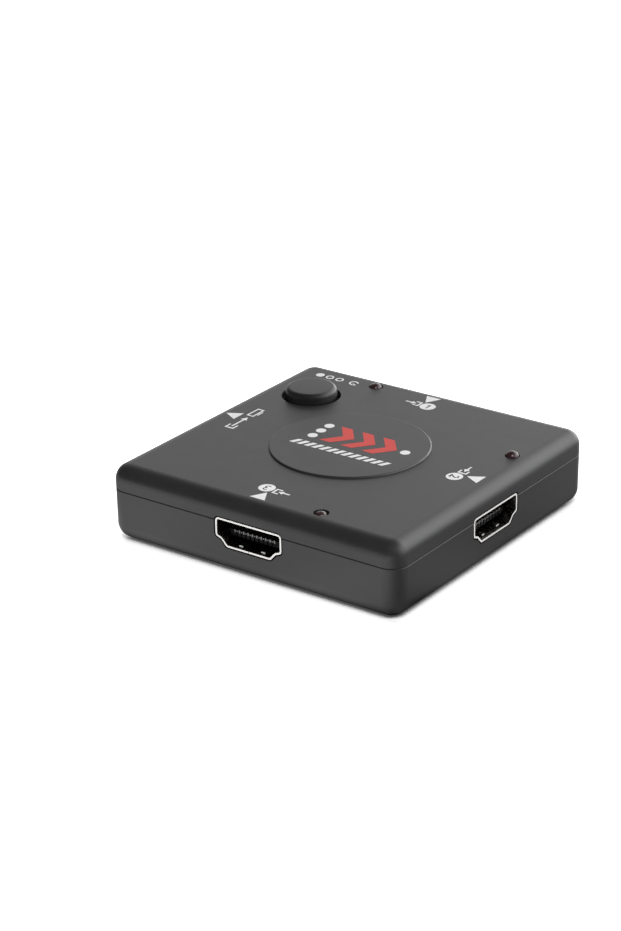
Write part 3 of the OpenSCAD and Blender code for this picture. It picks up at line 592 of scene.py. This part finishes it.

# The cut edges are the shell's faces that look straight out near the case's face; they are bare satin steel, hardly
# metallic, and painted pale as a highlight.
# The rest is darkened the further in it lies, as painted shade inside the socket.
tree = nickel.node_tree
plate = tree.nodes["Principled BSDF"]
place = add(tree, "ShaderNodeTexCoord").outputs["Object"]
normal = add(tree, "ShaderNodeNewGeometry").outputs["True Normal"]
place = add(tree, "ShaderNodeSeparateXYZ", [("Vector", place)]).outputs
slope = add(tree, "ShaderNodeSeparateXYZ", [("Vector", normal)]).outputs
from_x, from_y = (math_node(tree, "ABSOLUTE", place[axis]) for axis in "XY")
slope_x, slope_y = (math_node(tree, "ABSOLUTE", slope[axis]) for axis in "XY")
outward = math_node(tree, "MAXIMUM", from_x, from_y)
on_x = math_node(tree, "GREATER_THAN", from_x, from_y)
straight_x = math_node(tree, "MULTIPLY", on_x, slope_x)
straight_y = math_node(tree, "MULTIPLY", math_node(tree, "SUBTRACT", 1.0, on_x), slope_y)
facing_out = ramp_node(tree, math_node(tree, "ADD", straight_x, straight_y), 0.6, 0.9, 0.0, 1.0)
near_face = ramp_node(tree, outward, 0.0310, 0.0313, 0.0, 1.0)
cut_edge_highlight = math_node(tree, "MULTIPLY", facing_out, near_face)
tree.links.new(ramp_node(tree, cut_edge_highlight, 0.0, 1.0, 1.0, 0.1, False), plate.inputs["Metallic"])
# Painted shade: the nickel darkens towards the inside of the socket.
painted_shade_inside = ramp_node(tree, outward, 0.0320, 0.0324, 1.0, 0.0)
nickel_with_painted_shade = mix_colour(tree, painted_shade_inside, plate.inputs["Base Color"].links[0].from_socket, (0.42, 0.39, 0.36))
# Painted highlight: the cut edges are whitened nearly to white.
tree.links.new(mix_colour(tree, cut_edge_highlight, nickel_with_painted_shade, (0.95, 0.935, 0.91)), plate.inputs["Base Color"])
dress(nickel, *(side + "_shell" for side in sides))

black_nylon = moulded("black_nylon", (0.006, 0.006, 0.007), (0.009, 0.009, 0.010),
                      smooth=0.4, rough=0.55, gloss=0.12, depth=3e-6, grains=8000.0, clouds=900.0)
dress(black_nylon, *(side + "_insulator" for side in sides))
contact_plate = plated("contact_plate", (0.235, 0.228, 0.226), (0.29, 0.282, 0.280),
                       smooth=0.42, rough=0.55, lines=(3000, 3000, 12000), depth=1e-6)
dress(contact_plate, *(side + "_contacts" for side in sides))

# ---------------------------------------------------------------- indicator lamps
# Three round lamps cast in clear dark red resin, standing a little unevenly in their holes.
# Each one stands on two tinned leads that go down through the board.
resin, tree, cast, place = blank("red_resin")
cast.inputs["Transmission Weight"].default_value = 0.7
cast.inputs["IOR"].default_value = 1.5
swirl = add(tree, "ShaderNodeTexNoise", [("Vector", place)], Scale=700.0, Detail=2.0).outputs["Fac"]
tones = two_tones(tree, swirl, 0.3, 0.7, (0.075, 0.036, 0.040), (0.105, 0.050, 0.055))
tree.links.new(tones, cast.inputs["Base Color"])
tree.links.new(ramp_node(tree, swirl, 0.3, 0.7, 0.16, 0.24), cast.inputs["Roughness"])
dress(resin, "lamp_1_lens", "lamp_2_lens", "lamp_3_lens")

tinned = plated("tinned_wire", (0.62, 0.62, 0.63), (0.74, 0.74, 0.75),
                smooth=0.28, rough=0.42, lines=(6000, 6000, 900), depth=1e-6)
dress(tinned, "lamp_1_leads", "lamp_2_leads", "lamp_3_leads")

# ---------------------------------------------------------------- circuit board
# A glass-fibre board under dark green solder mask, resting on the four posts of the bottom case.
# The mask shows faintly paler where copper tracks run under it, and joints of solder hold the leads from below.
mask, tree, coat, place = blank("solder_mask")
track = add(tree, "ShaderNodeTexBrick", [("Vector", place)], Scale=260.0, Mortar_Size=0.09, Mortar_Smooth=0.2)
track.inputs["Color1"].default_value = (0.006, 0.022, 0.012, 1)
track.inputs["Color2"].default_value = (0.008, 0.027, 0.015, 1)
track.inputs["Mortar"].default_value = (0.012, 0.046, 0.024, 1)
tree.links.new(track.outputs["Color"], coat.inputs["Base Color"])
weave = add(tree, "ShaderNodeTexNoise", [("Vector", place)], Scale=1500.0, Detail=2.0).outputs["Fac"]
tree.links.new(ramp_node(tree, weave, 0.3, 0.7, 0.22, 0.36), coat.inputs["Roughness"])
relief = add(tree, "ShaderNodeBump", [("Height", track.outputs["Fac"])], Strength=0.6, Distance=1.5e-5)
tree.links.new(relief.outputs["Normal"], coat.inputs["Normal"])
dress(mask, "main_board")

joint_tree = bpy.data.node_groups.new("solder_joints", "GeometryNodeTree")
group_sockets(joint_tree, "INPUT", "Geometry", "Places")
group_sockets(joint_tree, "INPUT", "Float", "Foot radius", "Tip radius", "Height")
group_sockets(joint_tree, "INPUT", "Material", "Solder")
group_sockets(joint_tree, "OUTPUT", "Geometry", "Joints")
given = joint_tree.nodes.new("NodeGroupInput").outputs
cone = add(joint_tree, "GeometryNodeMeshCone",
           [("Radius Bottom", given["Foot radius"]), ("Radius Top", given["Tip radius"]), ("Depth", given["Height"])],
           Vertices=12, Side_Segments=1)
hung = add(joint_tree, "GeometryNodeTransform", [("Geometry", cone.outputs["Mesh"])], Rotation=(math.pi, 0, 0))
smooth = add(joint_tree, "GeometryNodeSetShadeSmooth", [("Geometry", hung.outputs["Geometry"])])
end_tree(joint_tree, given["Places"], smooth.outputs["Geometry"], given["Solder"], "Joints")


def lead_places(low, high, half, narrow=0.001):
    """Where the leads of a piece stand along one axis: at both its ends, or in the middle of a narrow piece."""
    ends = low + half, high - half
    return ends if ends[1] - ends[0] > narrow else (sum(ends) / 2,)


lamp_lead_half, leg_half_x, leg_half_y = 0.00025, 0.00015, 0.00035
joint_drop = 0.00019
joint_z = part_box("main_board")[0].z - joint_drop
solder = plated("solder", (0.55, 0.55, 0.56), (0.68, 0.68, 0.69),
                smooth=0.2, rough=0.36, lines=(800, 800, 800), depth=2e-6)
joint_spots = []
for name, half_x, half_y in (("lamp_1_leads", lamp_lead_half, lamp_lead_half),
                             ("lamp_2_leads", lamp_lead_half, lamp_lead_half),
                             ("lamp_3_leads", lamp_lead_half, lamp_lead_half),
                             ("push_switch_terminals", leg_half_x, leg_half_y)):
    low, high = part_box(name)
    joint_spots += [(x, y, joint_z) for x in lead_places(low.x, high.x, half_x)
                    for y in lead_places(low.y, high.y, half_y)]
grown("solder_joints", joint_tree, joint_spots, "lead",
      **{"Foot radius": 0.00085, "Tip radius": 0.0005, "Height": 0.0004, "Solder": solder})

# ---------------------------------------------------------------- push switch
# A six millimetre push switch soldered under the button: a black nylon base, a bare steel cover clipped over it,
# a nylon plunger, four tinned legs, and a snap dome inside that flattens when the plunger goes down.
switch_nylon = moulded("switch_nylon", (0.016, 0.016, 0.017), (0.023, 0.023, 0.024),
                       smooth=0.42, rough=0.55, gloss=0.4, depth=3e-6, grains=6000.0, clouds=700.0)
dress(switch_nylon, "push_switch_base", "push_switch_plunger")
switch_steel = plated("switch_steel", (0.60, 0.60, 0.59), (0.72, 0.72, 0.71),
                      smooth=0.24, rough=0.36, lines=(900, 9000, 900), depth=1e-6)
dress(switch_steel, "push_switch_cover", "push_switch_dome")
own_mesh(nodes["push_switch_dome"])
dress(tinned, "push_switch_terminals")

# ---------------------------------------------------------------- chips
# The switching chip and the voltage regulator, moulded in black epoxy.
# Their tinned leads are bent down to the board and soldered to it.
epoxy = moulded("chip_epoxy", (0.022, 0.022, 0.024), (0.030, 0.030, 0.032),
                smooth=0.5, rough=0.62, gloss=0.4, depth=3e-6, grains=12000.0, clouds=1200.0)
dress(epoxy, "switch_chip", "regulator")
dress(tinned, "switch_chip_leads", "regulator_leads")

# ---------------------------------------------------------------- chip resistors and capacitors
# Small ceramic chips round the switching chip: black glazed resistors and tan capacitors.
# They lie flat on the board and are soldered to it at their ends.
glaze = moulded("resistor_glaze", (0.022, 0.022, 0.025), (0.034, 0.034, 0.038),
                smooth=0.25, rough=0.4, gloss=0.5, depth=1e-6, grains=9000.0, clouds=1500.0)
dress(glaze, "chip_resistors")
ceramic = moulded("capacitor_ceramic", (0.36, 0.25, 0.145), (0.45, 0.315, 0.19),
                  smooth=0.4, rough=0.55, gloss=0.45, depth=2e-6, grains=9000.0, clouds=1500.0)
dress(ceramic, "chip_capacitors")

# ---------------------------------------------------------------- case screws
# Four zinc-plated cross-slot screws, rolled from steel wire.
# They are driven up through the floor of the case into the cover's posts.
zinc = plated("zinc_plate", (0.46, 0.46, 0.47), (0.58, 0.58, 0.58),
              smooth=0.28, rough=0.42, lines=(2500, 2500, 7000), depth=1.5e-6)
dress(zinc, "screw_1", "screw_2", "screw_3", "screw_4")
